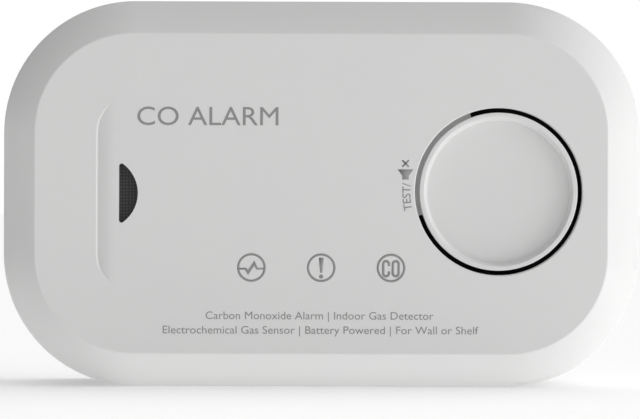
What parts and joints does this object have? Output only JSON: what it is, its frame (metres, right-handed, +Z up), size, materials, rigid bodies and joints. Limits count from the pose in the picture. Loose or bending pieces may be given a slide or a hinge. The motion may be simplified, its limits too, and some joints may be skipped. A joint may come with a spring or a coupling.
{
  "type": "carbon monoxide alarm",
  "caption": "Rounded rectangular carbon monoxide alarm with a large round test button, a D-shaped sound slot, battery door and slide-on wall plate.",
  "frame": {"origin": "under the middle of the case, on the surface that it stands on", "axes": "+X to the right of the face, +Z up, the face looks along -Y"},
  "size_m": [0.12, 0.036, 0.0727],
  "materials": {
    "case_white": "fine spark-eroded satin moulding",
    "button_white": "satin moulding",
    "black_plastic": "satin moulding",
    "board_green": "solder mask",
    "chip_black": "matt",
    "plated_steel": "tin plated",
    "screw_steel": "zinc plated",
    "capacitor_can": "drawn, satin",
    "dust_screen": "woven mesh",
    "foam": "closed-cell foam",
    "brass": "rolled",
    "piezo_ceramic": "silvered",
    "sensor_plastic": "satin moulding",
    "filter_white": "porous membrane",
    "cell_sleeve": "shrunk satin sleeve",
    "led_green": "clear resin",
    "led_amber": "clear resin",
    "led_red": "clear resin",
    "light_guide": "clear polycarbonate"
  },
  "bodies": {
    "case": {"front_cover": "case_white", "rear_housing": "case_white", "button_surround": "black_plastic", "test_switch_base": "black_plastic", "test_switch_cover": "plated_steel", "circuit_board": "board_green", "microcontroller": "chip_black", "microcontroller_leads": "plated_steel", "crystal": "plated_steel", "capacitors": "capacitor_can", "chip_resistors": "chip_black", "sounder_inductor": "chip_black", "light_shroud": "black_plastic", "dust_screen": "dust_screen", "sounder_horn": "black_plastic", "sounder_gasket": "foam", "piezo_plate": "brass", "piezo_ceramic": "piezo_ceramic", "sounder_retainer": "black_plastic", "sounder_contact_pins": "plated_steel", "sensor_can": "sensor_plastic", "sensor_filter": "filter_white", "sensor_pins": "plated_steel", "sensor_pad": "foam", "lower_cell": "cell_sleeve", "upper_cell": "cell_sleeve", "link_contact": "plated_steel", "positive_contact": "plated_steel", "negative_contact": "plated_steel", "case_screws": "screw_steel", "board_screws": "screw_steel", "power_led": "led_green", "fault_led": "led_amber", "alarm_led": "led_red", "power_light_guide": "light_guide", "fault_light_guide": "light_guide", "alarm_light_guide": "light_guide"},
    "button": {"test_button": "button_white"},
    "switch_plunger": {"test_switch_plunger": "black_plastic"},
    "battery_door": {"battery_door": "case_white"},
    "wall_plate": {"wall_plate": "case_white"}
  },
  "joints": [
    {"name": "button_press", "type": "hinge", "parent": "case", "child": "button", "pos_m": [0.01682, -0.0148, 0.04502], "axis": [0.4462, 0, 0.8949], "range_deg": [0, 1.6], "stiffness_Nm_per_rad": 0.5, "springref_deg": -3.44},
    {"name": "switch_travel", "type": "slide", "parent": "case", "child": "switch_plunger", "axis": [0, 1, 0], "range_m": [0, 0.0004]},
    {"name": "door_hinge", "type": "hinge", "parent": "case", "child": "battery_door", "pos_m": [0, 0.0166, 0.0069], "axis": [-1, 0, 0], "range_deg": [0, 90]},
    {"name": "plate_slide", "type": "slide", "parent": "case", "child": "wall_plate", "axis": [0, 0, -1], "range_m": [0, 0.008]}
  ],
  "couplings": [
    {"joint": "switch_travel", "follows": "button_press", "m_per_rad": 0.01431}
  ]
}
